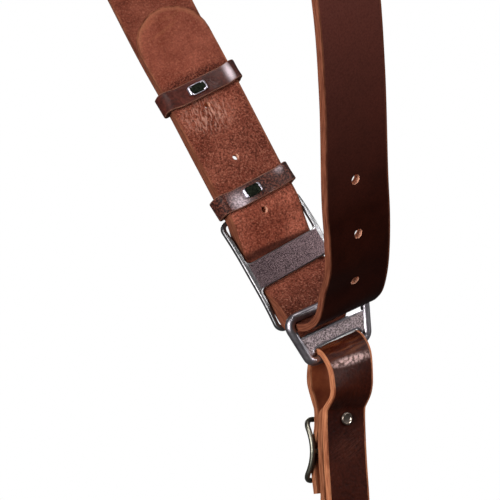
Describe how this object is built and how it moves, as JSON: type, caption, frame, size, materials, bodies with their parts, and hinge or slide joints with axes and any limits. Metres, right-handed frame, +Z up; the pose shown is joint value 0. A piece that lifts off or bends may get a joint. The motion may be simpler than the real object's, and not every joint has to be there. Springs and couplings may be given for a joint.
{
  "type": "leather camera sling",
  "caption": "Wide leather shoulder loop with a slide buckle, keepers and a hanging ring, from which a narrow leash with an end clasp hangs to carry a camera.",
  "frame": {"origin": "inner face of the wide strap at the top of the loop, where it lies on the shoulder", "axes": "+Z up, -Y to the wearer's front, +X to the hip that the loop leans to, with the leash hanging plumb"},
  "size_m": [0.255, 0.2522, 0.7298],
  "materials": {
    "wide_leather": "reddish brown, waxed, with tan cut edges",
    "keeper_leather": "very dark brown, glossy",
    "leash_leather": "dark brown, glossy, with tan cut edges",
    "clip_metal": "dark with bright worn ends",
    "slide_metal": "dark grained plate with bright edges",
    "ring_metal": "polished, with a grained plate",
    "rivet_metal": "pewter",
    "small_metal": "dark, polished",
    "clasp_metal": "polished"
  },
  "bodies": {
    "root": {"sling_strap": "wide_leather", "keeper_upper": "keeper_leather", "keeper_lower": "keeper_leather", "keeper_upper_clip": "clip_metal", "keeper_lower_clip": "clip_metal", "slide_buckle": "slide_metal", "ring": "ring_metal", "leash_strap": "leash_leather", "leash_rivet": "rivet_metal", "leash_buckle": "small_metal", "leash_clasp": "clasp_metal"}
  },
  "joints": []
}
